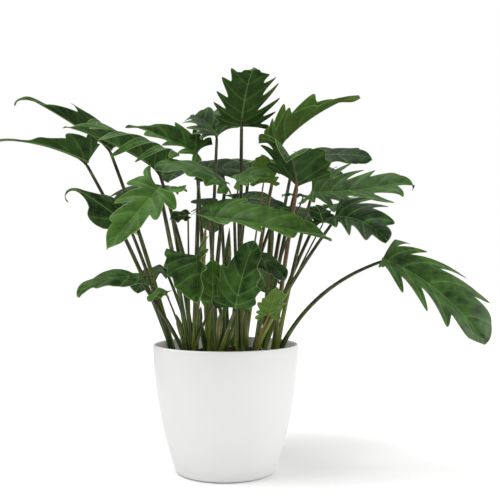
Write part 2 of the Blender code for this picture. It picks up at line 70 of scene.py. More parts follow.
paperSettings = {
    "side": 8.0,          # metres
    "grain": {"Scale": 900.0, "Detail": 2.0},   # cells of about 1 mm
    "whites": ("#fafaf9", "#ffffff"),
    "finish": {"Roughness": 0.9, "Specular IOR Level": 0.2},
}


def linearColour(text):
    # Each sRGB channel of a hex colour to linear: c/12.92 below 0.04045, else ((c + 0.055)/1.055)^2.4
    channels = np.array([int(text[i:i + 2], 16) for i in (1, 3, 5)]) / 255
    linear = np.where(channels < 0.04045, channels / 12.92, ((channels + 0.055) / 1.055) ** 2.4)
    return tuple(float(channel) for channel in linear) + (1.0,)


def setInputs(node, inputs):
    # Links each input that is given another node's output, and sets the others; a tuple fills them in
    # order
    pairs = inputs.items() if isinstance(inputs, dict) else enumerate(inputs)
    for socket, value in pairs:
        if isinstance(value, bpy.types.NodeSocket):
            node.id_data.links.new(value, node.inputs[socket])
        else:
            node.inputs[socket].default_value = value


def addNode(tree, kind, inputs, output=0, **settings):
    # Adds a shader node with its settings and inputs, and gives back one of its outputs
    node = tree.nodes.new("ShaderNode" + kind)
    for name, value in settings.items():
        setattr(node, name, value)
    setInputs(node, inputs)
    return node.outputs[output]


blend = {"output": 2, "data_type": "RGBA"}   # how addNode mixes colours: 0 the share, 6 and 7 the colours


def newMaterial(name):
    # A node tree with a Principled shader joined to the output
    material = bpy.data.materials.new(name)
    material.use_nodes = True
    tree = material.node_tree
    return material, tree, tree.nodes["Principled BSDF"]


def writeMesh(name, points, faces, attributes, material):
    # Points in millimetres to a mesh in metres. The faces are one or more arrays of point numbers, each
    # with its own count of corners. Unused points are dropped and the rest renumbered.
    corners = np.concatenate([group.ravel() for group in faces])
    sizes = np.concatenate([np.full(len(group), group.shape[1]) for group in faces])
    used, numbers = np.unique(corners, return_inverse=True)
    mesh = bpy.data.meshes.new(name)
    mesh.vertices.add(len(used))
    mesh.vertices.foreach_set("co", (points[used] * mm).astype(np.float32).ravel())
    mesh.loops.add(len(corners))
    mesh.loops.foreach_set("vertex_index", numbers.ravel().astype(np.int32))
    mesh.polygons.add(len(sizes))
    mesh.polygons.foreach_set("loop_start", (np.cumsum(sizes) - sizes).astype(np.int32))
    mesh.update(calc_edges=True)
    for attribute, values in attributes.items():
        wide = values.ndim > 1
        layer = mesh.attributes.new(attribute, "FLOAT_VECTOR" if wide else "FLOAT", "POINT")
        layer.data.foreach_set("vector" if wide else "value", values[used].astype(np.float32).ravel())
    mesh.materials.append(material)
    mesh.shade_smooth()
    piece = bpy.data.objects.new(name, mesh)
    bpy.context.scene.collection.objects.link(piece)
    return piece


def gridFaces(index, flip=False):
    # The quads between neighbouring rows and columns of a grid of point numbers
    a, b, c, d = index[:-1, :-1], index[:-1, 1:], index[1:, 1:], index[1:, :-1]
    order = (a, d, c, b) if flip else (a, b, c, d)
    return np.stack([corner.ravel() for corner in order], axis=1)


def closedTube(grid):
    # Rings of points to a closed skin: quads between the rings, and a fan of triangles from the middle of
    # the first and of the last ring. The two middles come after the rings' points.
    rings, sides = grid.shape[:2]
    index = np.arange(rings * sides).reshape(rings, sides)
    index = np.concatenate([index, index[:, :1]], axis=1)
    foot, top = np.full(sides, rings * sides), np.full(sides, rings * sides + 1)
    fans = np.concatenate([
        np.stack([foot, index[0, 1:], index[0, :-1]], axis=1),
        np.stack([top, index[-1, :-1], index[-1, 1:]], axis=1),
    ])
    points = np.concatenate([grid.reshape(-1, 3), grid[:1].mean(axis=1), grid[-1:].mean(axis=1)])
    return points, [gridFaces(index), fans]


def closedValues(values):
    # One value or vector for each point of closedTube, from those of the rings' points
    flat = values.reshape(-1, *values.shape[2:])
    return np.concatenate([flat, values[0, :1], values[-1, :1]])


def aroundAxis(radius, height, angle):
    # Rings about the upright: (r cos a, r sin a, h) for each radius, height and angle; a number in place
    # of the angles is how many there are
    if isinstance(angle, int):
        angle = np.linspace(0, 2 * np.pi, angle, endpoint=False)
    x, y, z = np.broadcast_arrays(radius * np.cos(angle), radius * np.sin(angle), height)
    return np.stack([x, y, z], axis=-1)


def paperMaterial():
    # Matt white photographer's paper: grain of about 1 mm between two near whites
    material, tree, shader = newMaterial("whitePaper")
    grain = addNode(tree, "TexNoise", paperSettings["grain"])
    darker, paler = (linearColour(text) for text in paperSettings["whites"])
    shade = addNode(tree, "Mix", {0: grain, 6: darker, 7: paler}, **blend)
    setInputs(shader, {"Base Color": shade, **paperSettings["finish"]})
    return material


def addStage():
    # The camera at the photograph's angle, a pale floor, white surroundings and large soft lights
    camera = bpy.data.objects.new("camera", bpy.data.cameras.new("camera"))
    camera.location = cameraSettings["place"]
    camera.rotation_euler = (math.radians(cameraSettings["tilt"]), 0, 0)
    camera.data.lens = cameraSettings["lens"]
    camera.data.sensor_width = cameraSettings["sensor"]
    scene = bpy.context.scene
    scene.collection.objects.link(camera)
    scene.camera = camera
    scene.view_settings.view_transform = "Standard"

    world = bpy.data.worlds.new("whiteStudio")
    world.use_nodes = True
    tree = world.node_tree
    seen = addNode(tree, "LightPath", {})
    strength = addNode(tree, "MapRange", {
        0: seen, 3: lightSettings["surround"], 4: lightSettings["backdrop"],
    })
    setInputs(tree.nodes["Background"], {"Color": (1, 1, 1, 1), "Strength": strength})
    scene.world = world

    key = bpy.data.objects.new("keyLight", bpy.data.lights.new("keyLight", "SUN"))
    key.data.energy = lightSettings["keyStrength"]
    key.data.angle = math.radians(lightSettings["keyWidth"])
    key.rotation_euler = [math.radians(angle) for angle in lightSettings["keyAngles"]]
    scene.collection.objects.link(key)
    for name, place, aim, side, power in lightSettings["boxes"]:
        light = bpy.data.objects.new(name, bpy.data.lights.new(name, "AREA"))
        light.data.size = side
        light.data.energy = power
        light.location = place
        light.rotation_euler = (Vector(place) - Vector(aim)).to_track_quat("Z", "Y").to_euler()
        scene.collection.objects.link(light)

    half = paperSettings["side"] / 2 / mm
    corners = np.array([[-half, -half, 0], [half, -half, 0], [half, half, 0], [-half, half, 0]])
    floor = writeMesh("floor", corners, [np.array([[0, 1, 2, 3]])], {}, paperMaterial())


addStage()
print("stage ready")

# Leaves

leafDefaults = {
    "width": 0.40,        # half width as a share of the length
    "base": 0.5,          # width at the base as a share of the greatest width
    "cut": 0.5,           # depth of the cuts between lobes
    "lobes": 4,           # lobes on each side below the terminal lobe
    "terminal": 0.80,     # where the terminal lobe starts, as a share of the veins
    "fold": (12, 12),     # climb of the left and the right half from the midrib, degrees
    "bend": (-36, -36),   # how far the left and the right half turn over on their way to the margin
    "roll": 0,            # turn about the midrib, right side down
    "twist": 0,           # how much the roll grows on the way to the tip
    "hook": 0,            # curl of the last stretch before the tip
    "hookStart": 0.84,    # where that stretch starts, as a share of the length
    "taper": 0.85,        # how slim the ends are
    "blunt": 0.5,         # how round the lobes' tips are
    "finger": 1.0,        # how slim the lobes are for the width of their cuts
    "sweep": 0.92,        # less makes the veins and the lobes lean further towards the tip
    "reach": (),          # how far each lobe of the left and the right half reaches, if not drawn by lot
    "back": 0.18,         # reach of the basal lobes behind the petiole
    "wave": 2.5,          # height of the margin's waves, mm
    "arch": 0.05,         # bow of the petiole, as a share of its length
    "tone": 0.35,         # 0 the darkest green, 1 the lightest
    "youth": 0.0,         # 1 the yellow green of a leaf that has just opened
    "blush": 0.0,         # pinkish brown on the midrib and the petiole
}

# Crown, joint with the petiole in mm, heading, pitch at petiole and tip, length in mm, and the rest
leafTable = (
    ("left", (-172, 0, 382), 184, (28, -4), 128,
     dict(fold=(84, 70), bend=(-20, -30), cut=0.3, width=0.29, base=1.0, back=0.0, taper=3.0,
          reach=((0.9, 0.85, 0.75, 0.65, 1), (0.9, 0.85, 0.75, 0.65, 1)), tone=0.4)),
    ("left", (-149, 38, 403), 180, (36, 26), 150,
     dict(fold=(84, 40), bend=(-150, -40), cut=0.45, base=0.9, hook=-110, hookStart=0.8, back=0.1,
          taper=3.4, tone=0.3)),
    ("left_middle", (-77, -30, 366), 186, (36, 14), 130,
     dict(fold=(96, 14), bend=(-165, -40), twist=-60, width=0.54, base=0.9, lobes=5, back=0.08, taper=1.5,
          blunt=0.3, reach=((1, 1.1, 1.15, 1.1, 1, 1), (0.7, 0.7, 0.7, 0.8, 1, 1)), tone=0.5)),
    ("left_middle", (-39, 46, 399), 182, (30, 14), 100,
     dict(fold=(6, 70), roll=-14, width=0.36, base=0.8, taper=1.6, blunt=0.2, tone=0.42)),
    ("left_middle", (-12, 36, 420), 120, (40, 16), 82,
     dict(fold=(8, 62), width=0.48, base=0.85, back=0.22, lobes=5, terminal=0.88, cut=0.45, blunt=0.2,
          reach=((0.75, 0.8, 0.9, 1, 1, 1), (0.9, 1, 1.1, 1.05, 1, 1)), tone=0.15)),
    ("right_middle", (19, -10, 425), 283, (67, 12), 94,
     dict(fold=(6, 6), bend=(20, 20), width=0.5, base=0.85, lobes=6, terminal=0.9, back=0.06, blunt=0.35,
          finger=1.1, sweep=0.95,
          reach=((0.9, 1, 1.05, 1.05, 1.05, 1.05, 1), (0.75, 0.75, 0.8, 0.85, 0.95, 1.2, 1)), tone=0.5)),
    ("right_middle", (64, 5, 401), -8, (48, 16), 122,
     dict(fold=(84, 34), bend=(-10, -10), width=0.5, base=0.85, taper=3.0, terminal=0.7, cut=0.6,
          blunt=0.25, finger=1.3, sweep=0.8, reach=((0.25, 0.45, 0.74, 0.92, 1), (0.9, 0.78, 0.75, 0.8, 1)),
          tone=0.5, youth=0.16, blush=0.4)),
    ("right", (86, -44, 348), 260, (46, -20), 100,
     dict(fold=(34, 58), width=0.56, base=0.9, cut=0.3, back=0.0, blunt=0.3,
          reach=((0.8, 0.8, 0.8, 0.8, 1), (1, 1, 1, 1, 1)), tone=0.42, blush=0.8)),
    ("right_back", (99, 60, 395), -6, (10, -12), 93,
     dict(fold=(10, 0), roll=30, cut=0.45, terminal=0.86, blunt=0.3, taper=0.6,
          reach=((1, 1, 1, 1, 1), (0.6, 0.62, 0.62, 0.7, 1)), tone=0.05)),
    ("right", (106, -8, 344), -18, (-2, 14), 128,
     dict(fold=(44, 0), roll=20, hook=-50, hookStart=0.78, lobes=6, cut=0.6, terminal=0.9, back=0.2,
          width=0.42, base=0.95, blunt=0.4, sweep=0.75,
          reach=((1.1, 1.1, 1, 0.9, 0.8, 0.8, 1), (0.6, 0.55, 0.7, 1, 1.2, 1.3, 1)), tone=0.45)),
    ("right_front", (126, -88, 310), -44, (0, -44), 80,
     dict(fold=(42, 16), roll=26, width=0.48, base=0.85, back=0.05, terminal=0.86, blunt=0.4, sweep=0.65,
          reach=((1, 0.9, 0.95, 1, 1), (0.6, 0.75, 0.9, 1, 1)), tone=0.05)),
    ("right", (192, -20, 262), -14, (-22, -58), 160,
     dict(roll=50, fold=(2, 42), arch=0.15, back=-0.02, base=0.85, cut=0.6, terminal=0.77, taper=0.55,
          blunt=0.4, reach=((1, 0.8, 1.08, 1.15, 1), (0.5, 0.85, 0.95, 0.95, 1)), tone=0.42)),
    ("left_front", (-70, -116, 340), 211, (-46, -50), 91,
     dict(width=0.38, base=0.95, cut=0.46, fold=(30, 12), roll=-50, back=0.3, blunt=0.7, finger=0.75,
          reach=((0.85, 1, 0.95, 0.8, 1), (0.95, 1.1, 1.1, 0.95, 1)), tone=0.76)),
    ("left", (-114, -20, 298), 188, (42, 26), 108,
     dict(width=0.22, cut=0.04, fold=(0, 0), roll=-62, hook=-180, hookStart=0.7, taper=6.0, tone=0.2)),
    ("left_front", (-100, -40, 238), 204, (14, -40), 84,
     dict(width=0.28, cut=0.08, roll=-24, hook=-60, back=0.26, taper=1.3, tone=0.4)),
    ("left_front", (-30, -98, 266), 278, (-50, -86), 58,
     dict(width=0.66, base=0.9, cut=0.1, fold=(80, 6), bend=(-20, -36), back=0.26,
          reach=((0.5, 0.4, 0.4, 0.5, 0.7), (1, 1, 1, 1, 1)), tone=0.38)),
    ("front", (14, -112, 208), 20, (80, 66), 78,
     dict(roll=55, width=0.36, base=0.75, cut=0.15, back=0.06, wave=4.5,
          reach=((1.2, 1.25, 1.05, 0.9, 1), (0.65, 0.75, 0.7, 0.75, 0.9)))),
    ("right_front", (50, -80, 197), 300, (70, 30), 42,
     dict(width=0.5, cut=0.4, tone=0.45, youth=0.32, blush=1.0)),
    ("right_front", (26, -44, 264), -20, (0, -60), 58,
     dict(cut=0.15, lobes=3, roll=20, width=0.44, tone=0.1)),
    ("front", (-15, -92, 309), -8, (-6, -16), 140,
     dict(width=0.29, base=0.6, cut=0.3, roll=20, fold=(38, 24), taper=1.1,
          reach=((1.5, 1.1, 1, 1, 1), (0.6, 0.8, 1, 1, 1)), tone=0.65)),
    ("right_middle", (8, 52, 338), -6, (14, -44), 79, dict(width=0.44, cut=0.15, roll=24, tone=0.1)),
    ("left_middle", (2, -48, 348), 206, (37, -12), 95,
     dict(width=0.48, base=0.8, cut=0.45, fold=(0, 20), bend=(-60, -36), roll=-16, blunt=0.3,
          reach=((0.4, 0.8, 0.75, 0.85, 1), (0.9, 0.75, 0.65, 0.75, 1)), tone=0.5)),
    ("left_back", (-39, 73, 377), 10, (22, -28), 78, dict(cut=0.3, roll=38, tone=0.1)),
    ("right_middle", (47, -8, 356), 256, (84, 56), 35,
     dict(width=0.64, base=0.7, cut=0.35, fold=(20, 20), tone=0.85, youth=0.35, blush=0.8)),
    ("right_middle", (14, -36, 355), -12, (30, -10), 42,
     dict(width=0.6, cut=0.3, lobes=3, roll=34, tone=0.75)),
    ("right_front", (98, 22, 342), 186, (10, -10), 28, dict(width=0.36, cut=0.1, lobes=3, tone=0.1)),
    ("right_back", (124, 34, 308), 250, (50, 8), 42, dict(cut=0.3, lobes=3, width=0.46, tone=0.1)),
    ("left_front", (-12, -91, 214), 96, (88, 78), 48,
     dict(cut=0.2, lobes=3, width=0.38, wave=3.5, youth=0.1)),
    ("left_front", (-44, -36, 314), 190, (10, -40), 24, dict(cut=0.1, lobes=3, roll=-50, tone=0.1)),
    ("left_front", (-66, -68, 222), 186, (20, -70), 26,
     dict(cut=0.1, lobes=3, width=0.3, roll=-40, tone=0.7)),
    ("left_back", (-80, 70, 356), 140, (12, -40), 112, dict(tone=0.3)),
    ("left_back", (-40, 110, 392), 118, (14, -28), 118, dict(tone=0.4)),
    ("back", (30, 120, 396), 84, (16, -30), 126, dict(tone=0.5)),
    ("right_back", (86, 90, 384), 48, (14, -26), 112, dict()),
    ("right_back", (125, 58, 330), 28, (8, -34), 104, dict(tone=0.45)),
    ("back", (66, 110, 330), 62, (10, -40), 108, dict(tone=0.3)),
    ("back", (-10, 120, 332), 100, (8, -44), 104, dict(tone=0.55)),
    ("back", (-28, 118, 250), 104, (-5, -50), 88, dict(cut=0.35, back=0.12, tone=0.4)),
    ("left_back", (-84, 84, 250), 136, (-8, -50), 76, dict(cut=0.4, back=0.12, tone=0.3)),
    ("back", (38, 118, 248), 76, (-5, -50), 80, dict(cut=0.4, back=0.12, tone=0.5)),
)
leaves = [
    dict(leafDefaults, crown=crown, joint=joint, heading=heading, pitch=pitch, length=length, **rest)
    for crown, joint, heading, pitch, length, rest in leafTable
]

bladeSettings = {
    "thickness": 0.6,      # mm in the middle of each half
    "edge": 0.3,           # mm at the margin
    "edgeRun": 3.0,        # mm from the margin to the full thickness
    "rowsPerMm": 1.05,     # of length
    "rows": (64, 150),     # fewest and most rows between the base and the tip
    "columns": (0, 0.012, 0.03, 0.06, 0.12, 0.22, 0.34, 0.46, 0.58, 0.69, 0.79, 0.88, 0.95, 0.985, 1),
    "ribSteps": 63,
    "hookPower": 1.5,       # how gently the hook sets in
    "lobeStart": -0.06,     # where the first lobe starts, as a share of the veins
    "endCuts": 0.5,         # cuts are deepest half way up, and this share of that at both ends
    "lastRoot": 0.95,       # where the last vein leaves the midrib, as a share of the length
    "rootPower": 2.5,       # how close together the first veins leave it
    "veinBow": 1.4,         # more than 1 bows the veins towards the tip
    "baseBow": 0.7,         # added to that at the base
    "baseShare": 0.35,      # share of the veins that count as the base's
    "waves": 2.2,           # waves of the margin on each half
    "fullLength": 90.0,     # mm, shorter blades have lower puffs and tilts, and thinner petioles
    "lean": 1.7,            # more than 1 puts each lobe's tip towards the leaf's tip
    "terminalBlunt": 0.8,   # how round the terminal lobe's shoulders are
    "terminalRun": 0.1,     # share of the veins over which they widen
    "tilt": 3.0,            # mm, how far a lobe's tip stands above or below its neighbours
    "ribHeight": 1.5,       # mm, how far the midrib stands out under the blade at the petiole
    "ribWidth": 1.3,        # mm
    "ribFoot": 4.0,         # mm behind the petiole over which it fades
    "stoutLength": 110.0,   # mm, a shorter blade has a slighter midrib
    "stoutTip": 0.12,       # stoutness of the midrib at the tip
    "stoutMost": 1.1,
    "ribLeast": 0.35,       # share of its width that the midrib has at least
    "leastSlant": 0.15,     # of a vein against the margin, which bounds the distance to the margin
    "leastCut": 0.2,        # lobes between shallower cuts tilt and droop less
    "groove": 0.35,         # mm, depth of the channel over the midrib
    "puff": 1.5,            # mm, how far the blade swells between two veins
    "droop": 0.05,          # how far each lobe's tip hangs, as a share of the half width
}
veinPhase = 0.5 ** (1 / bladeSettings["lean"])  # where in each lobe its vein and its tip lie


def ribFrames(leaf, along):
    # The midrib's climb goes evenly from the first pitch to the second, and curls at its end. Its places
    # are the running sum of its directions. Right and upper turn about it by the roll and the twist.
    steps = bladeSettings["ribSteps"]
    t = np.linspace(0, 1, steps + 1)
    first, last = leaf["pitch"]
    curl = np.clip((t - leaf["hookStart"]) / (1 - leaf["hookStart"]), 0, 1) ** bladeSettings["hookPower"]
    climb = np.radians(first + (last - first) * t + leaf["hook"] * curl)
    heading = math.radians(leaf["heading"])
    out = np.array([math.cos(heading), math.sin(heading), 0])
    up = np.array([0, 0, 1.0])
    ways = np.cos(climb)[:, None] * out + np.sin(climb)[:, None] * up
    middles = (ways[1:] + ways[:-1]) / 2
    places = np.vstack([np.zeros(3), np.cumsum(middles, axis=0)]) * leaf["length"] / steps
    share = np.clip(along / leaf["length"], 0, 1)
    place = np.stack([np.interp(share, t, places[:, k]) for k in range(3)], axis=-1)
    place = place + np.minimum(along, 0)[..., None] * ways[0] + np.array(leaf["joint"], float)
    climb = np.interp(share, t, climb)[..., None]
    forward = np.cos(climb) * out + np.sin(climb) * up
    side = np.array([math.sin(heading), -math.cos(heading), 0])
    right = np.broadcast_to(side, forward.shape)
    upper = np.cross(right, forward)
    roll = np.radians(leaf["roll"] + leaf["twist"] * share)[..., None]
    rolledRight = right * np.cos(roll) - upper * np.sin(roll)
    rolledUpper = upper * np.cos(roll) + right * np.sin(roll)
    return place, forward, rolledRight, rolledUpper


def leafChance(leaf, number):
    # The seeded differences between one leaf and the next
    draw = np.random.default_rng(seed * 1000 + number)
    lobes = leaf["lobes"] + 1
    chance = {
        "cuts": draw.uniform(0.8, 1.15, (2, lobes + 1)),
        "tips": draw.uniform(0.86, 1.08, (2, lobes)),
        "wave": draw.uniform(0.0, 1.0),
        "tilts": draw.uniform(-1.0, 1.0, (2, lobes)),
    }
    if leaf["reach"]:
        chance["tips"] = np.array(leaf["reach"], float)
    return chance


def lobePlace(leaf, s):
    # Which lobe the vein with share s belongs to, as lobes counted from the base
    start = bladeSettings["lobeStart"]
    return (s - start) / (leaf["terminal"] - start) * leaf["lobes"]


def marginReach(leaf, chance, s, side):
    # Share of each vein at which the margin lies: v + (c - v) g^finger from the cut v to the lobe's tip c
    # and back, where g falls with sqrt((2 phase - 1)^2 + blunt^2), which rounds the tip.
    lobes = leaf["lobes"]
    half = (side > 0).astype(int)
    place = lobePlace(leaf, s)
    lobe = np.clip(np.floor(place).astype(int), 0, lobes)
    phase = np.clip(place - lobe, 0, 1) ** bladeSettings["lean"]
    shoulder = np.clip((s - leaf["terminal"]) / bladeSettings["terminalRun"], 0, 1) / 2
    phase = np.where(lobe == lobes, shoulder, phase)
    blunt = np.where(lobe == lobes, bladeSettings["terminalBlunt"], leaf["blunt"])
    most = np.sqrt(1 + blunt ** 2)
    climb = (most - np.sqrt((2 * phase - 1) ** 2 + blunt ** 2)) / (most - blunt)
    cutShare = (1 + np.sin(np.pi * np.arange(lobes + 2) / lobes)) / 2
    cuts = leaf["cut"] * np.clip(cutShare, bladeSettings["endCuts"], 1) * chance["cuts"]
    valley = 1 - cuts[half, np.where(phase < 0.5, lobe, lobe + 1)]
    crest = np.where(lobe == lobes, 1, chance["tips"][half, lobe])
    return valley + (crest - valley) * np.clip(climb, 0, 1) ** leaf["finger"]


def flatPoint(leaf, s, q):
    # Across: the half width times (b + k s - (b + k) s^2)^taper times q, where b is the base's share and
    # k makes the greatest value 1. Along: from the vein's root on the midrib, lastRoot s^rootPower of the
    # length, towards its end, (1 + back) s^sweep - back of it, by q to the power of the vein's bow.
    settings = bladeSettings
    length, base = leaf["length"], leaf["base"]
    slope = 2 * (1 - base) + 2 * math.sqrt(1 - base)
    shape = np.maximum(base + slope * s - (base + slope) * s ** 2, 0) ** leaf["taper"]
    endAlong = length * (-leaf["back"] + (1 + leaf["back"]) * s ** leaf["sweep"])
    rootAlong = settings["lastRoot"] * length * s ** settings["rootPower"]
    curve = settings["veinBow"] + settings["baseBow"] * np.clip(1 - s / settings["baseShare"], 0, 1)
    return length * leaf["width"] * shape * q, rootAlong + (endAlong - rootAlong) * q ** curve


def bladeSheet(leaf, chance, s, q, side):
    # The middle of the blade's thickness. Each half leaves the midrib at its fold and turns over evenly,
    # so that a point lies at the end of an arc's chord, w sin(turn / 2) / (turn / 2) long. The margin's
    # waves, the puffs between veins and each lobe's own tilt and droop are added to the rise.
    settings = bladeSettings
    across, along = flatPoint(leaf, s, q)
    place, forward, right, upper = ribFrames(leaf, along)
    halfWidth = leaf["length"] * leaf["width"]
    turn = np.radians(np.where(side > 0, leaf["bend"][1], leaf["bend"][0])) * across / halfWidth
    lift = np.radians(np.where(side > 0, leaf["fold"][1], leaf["fold"][0])) + turn / 2
    chord = across * np.sinc(turn / 2 / np.pi)
    small = min(leaf["length"] / settings["fullLength"], 1)
    wave = leaf["wave"] * q ** 2 * np.sin(2 * np.pi * (settings["waves"] * s + chance["wave"] + side / 4))
    lobes = lobePlace(leaf, s)
    between = np.sin(np.pi * (lobes - veinPhase)) ** 2
    fullness = np.clip(across / halfWidth, 0, 1)
    puff = settings["puff"] * small * between * 4 * fullness * (1 - fullness)
    outside = np.clip((q - 1 + leaf["cut"]) / max(leaf["cut"], settings["leastCut"]), 0, 1) ** 2
    lobe = np.clip(np.floor(lobes).astype(int), 0, leaf["lobes"])
    tilt = chance["tilts"][(side > 0).astype(int), lobe] * settings["tilt"] * small
    droop = settings["droop"] * halfWidth
    rise = chord * np.sin(lift) + wave + puff + outside * (tilt - droop)
    out = side * chord * np.cos(lift)
    return place + right * out[..., None] + upper * rise[..., None], upper, across, along


def bladeMesh(name, leaf, number, material):
    # Rows follow the veins from the base to the tip, columns go from the left margin over the midrib to
    # the right. The upper and the lower sheet lie half the thickness to each side of the middle one. The
    # midrib stands out below, and is a groove above, by exp(-(across / width)^2).
    settings = bladeSettings
    chance = leafChance(leaf, number)
    fewest, most = settings["rows"]
    rows = int(np.clip(leaf["length"] * settings["rowsPerMm"], fewest, most))
    share = np.array(settings["columns"], float)
    share = np.concatenate([-share[:0:-1], share])
    s = np.linspace(0, 1, rows)[:, None] * np.ones(len(share))
    side = np.where(share < 0, -1.0, 1.0) * np.ones_like(s)
    reach = marginReach(leaf, chance, s, side)
    q = np.abs(share) * reach
    middle, upper, across, along = bladeSheet(leaf, chance, s, q, side)

    downRow = np.gradient(middle, axis=0)
    alongColumn = np.gradient(middle, axis=1)
    normal = np.cross(alongColumn, downRow)
    size = np.linalg.norm(normal, axis=-1, keepdims=True)
    normal = np.where(size > 1e-4, normal / np.maximum(size, 1e-9), upper)
    normal = normal * np.where((normal * upper).sum(-1, keepdims=True) < 0, -1, 1)

    # Distance to the margin along each vein, made square to the margin
    veinStep = np.linalg.norm(alongColumn[:, [1, -2]], axis=-1)
    marginStep = np.linalg.norm(downRow[:, [0, -1]], axis=-1)
    crossed = np.linalg.norm(np.cross(alongColumn[:, [1, -2]], downRow[:, [0, -1]]), axis=-1)
    slant = np.clip(crossed / np.maximum(veinStep * marginStep, 1e-6), settings["leastSlant"], 1)
    columnSteps = np.linalg.norm(np.diff(middle, axis=1), axis=-1)
    half = len(share) // 2
    inLeft = np.cumsum(columnSteps[:, :half], axis=1) * slant[:, :1]
    inRight = np.cumsum(columnSteps[:, :half - 1:-1], axis=1)[:, ::-1] * slant[:, 1:]
    rim = np.zeros((rows, 1))
    fromEdge = np.concatenate([rim, inLeft[:, :-1], np.minimum(inLeft[:, -1:], inRight[:, :1]),
                               inRight[:, 1:], rim], axis=1)

    length = leaf["length"]
    stout = min(length / settings["stoutLength"], settings["stoutMost"])
    stout = stout * np.clip(1 - along / length, settings["stoutTip"], 1)
    ribWidth = settings["ribWidth"] * np.clip(stout, settings["ribLeast"], 1)
    ridge = np.exp(-(across / ribWidth) ** 2)
    edge, full = settings["edge"], settings["thickness"]
    thickness = edge + (full - edge) * np.clip(fromEdge / settings["edgeRun"], 0, 1)
    behind = np.clip(1 + along / settings["ribFoot"], 0, 1)
    ridge = ridge * behind
    top = middle + normal * (thickness / 2 - settings["groove"] * stout * ridge)[..., None]
    bottom = middle - normal * (thickness / 2 + settings["ribHeight"] * stout * ridge)[..., None]

    count = s.size
    index = np.arange(count).reshape(s.shape)
    index[-1, half + 1:] = index[-1, :half][::-1]  # both halves of the last row lie on the midrib
    under = index + count
    wall = np.concatenate([
        gridFaces(np.stack([index[:, 0], under[:, 0]], axis=1), True),
        gridFaces(np.stack([index[:, -1], under[:, -1]], axis=1)),
        gridFaces(np.stack([index[0], under[0]], axis=1)),
    ])
    faces = np.concatenate([gridFaces(index), gridFaces(under, True), wall])
    points = np.concatenate([top.reshape(-1, 3), bottom.reshape(-1, 3)])

    place = lobePlace(leaf, s)
    pitch = np.linalg.norm(downRow, axis=-1) / np.gradient(place, axis=0)
    both = {"ribDistance": across, "ribStout": stout, "veinPlace": place, "veinPitch": pitch,
            "marginDistance": fromEdge}
    attributes = {name: np.tile(values.ravel(), 2) for name, values in both.items()}
    attributes["underside"] = np.repeat([0.0, 1.0], count)
    for kind in ("tone", "youth", "blush"):
        attributes[kind] = np.full(2 * count, leaf[kind])
    return writeMesh(name, points, [faces], attributes, material)


# A living xanadu leaf: a waxy skin over deep green flesh
leafColours = {
    "dark": "#15290e",
    "light": "#476d29",
    "young": "#6f9a22",
    # The underside's colours: its own duller green, darkened further as painted shade
    "underDarkPaintedShade": "#1a2c10",
    "under": "#3a5a25",
    "youngUnder": "#6d8a2c",
    "vein": "#78995a",
    "blush": "#6a4434",
    # Margin: a painted highlight, the pale line along each leaf's edge
    "margin": "#8fae6c",
}
leafFinish = {
    "finish": {"Specular IOR Level": 0.12, "IOR": 1.45},
    "cloud": {"Scale": 70.0, "Detail": 3.0, "Roughness": 0.6},   # cells of about 14 mm
    "cloudTone": (0.32, 0.68, -0.31, 0.31),   # range of the clouds, and what they add to the tone
    "bandTone": (0.0, 3.0, 0.22, -0.06),      # mm from a vein, and what is added to the tone there
    # Each line: where it starts to fade and where it ends, its colour's strength and its skin's rise
    "vein": (0.15, 0.95, 0.2, -0.8),        # mm; drawn about twice as wide as a real one, so that it shows
    "fineVein": (0.0, 0.14, 0.09, -0.25),   # shares of the way between two fine veins
    "rib": (0.5, 1.1, 0.4, 0.0),            # shares of the midrib's half width
    # The margin's pale line, up to about 1 mm wide, is a painted highlight
    "margin": (0.3, 1.1, 0.42, 0.0),        # mm
    "fineVeins": 5.0,                       # from one lateral vein to the next
    "ribHalfWidth": (1.1, 0.45),            # mm: times the midrib's stoutness, and added to that
    "wax": {"Scale": 160.0, "Detail": 2.0},
    "waxRoughness": (0.3, 0.7, 0.38, 0.52),   # range of the noise, and the roughness there
    "underRoughness": 0.68,
    "cells": {"Scale": 1250.0, "Detail": 1.0},   # skin cells of 0.8 mm, coarser than real ones
    "cellRise": 0.08,
    "relief": {"Strength": 0.6, "Distance": 0.3 * mm},
}


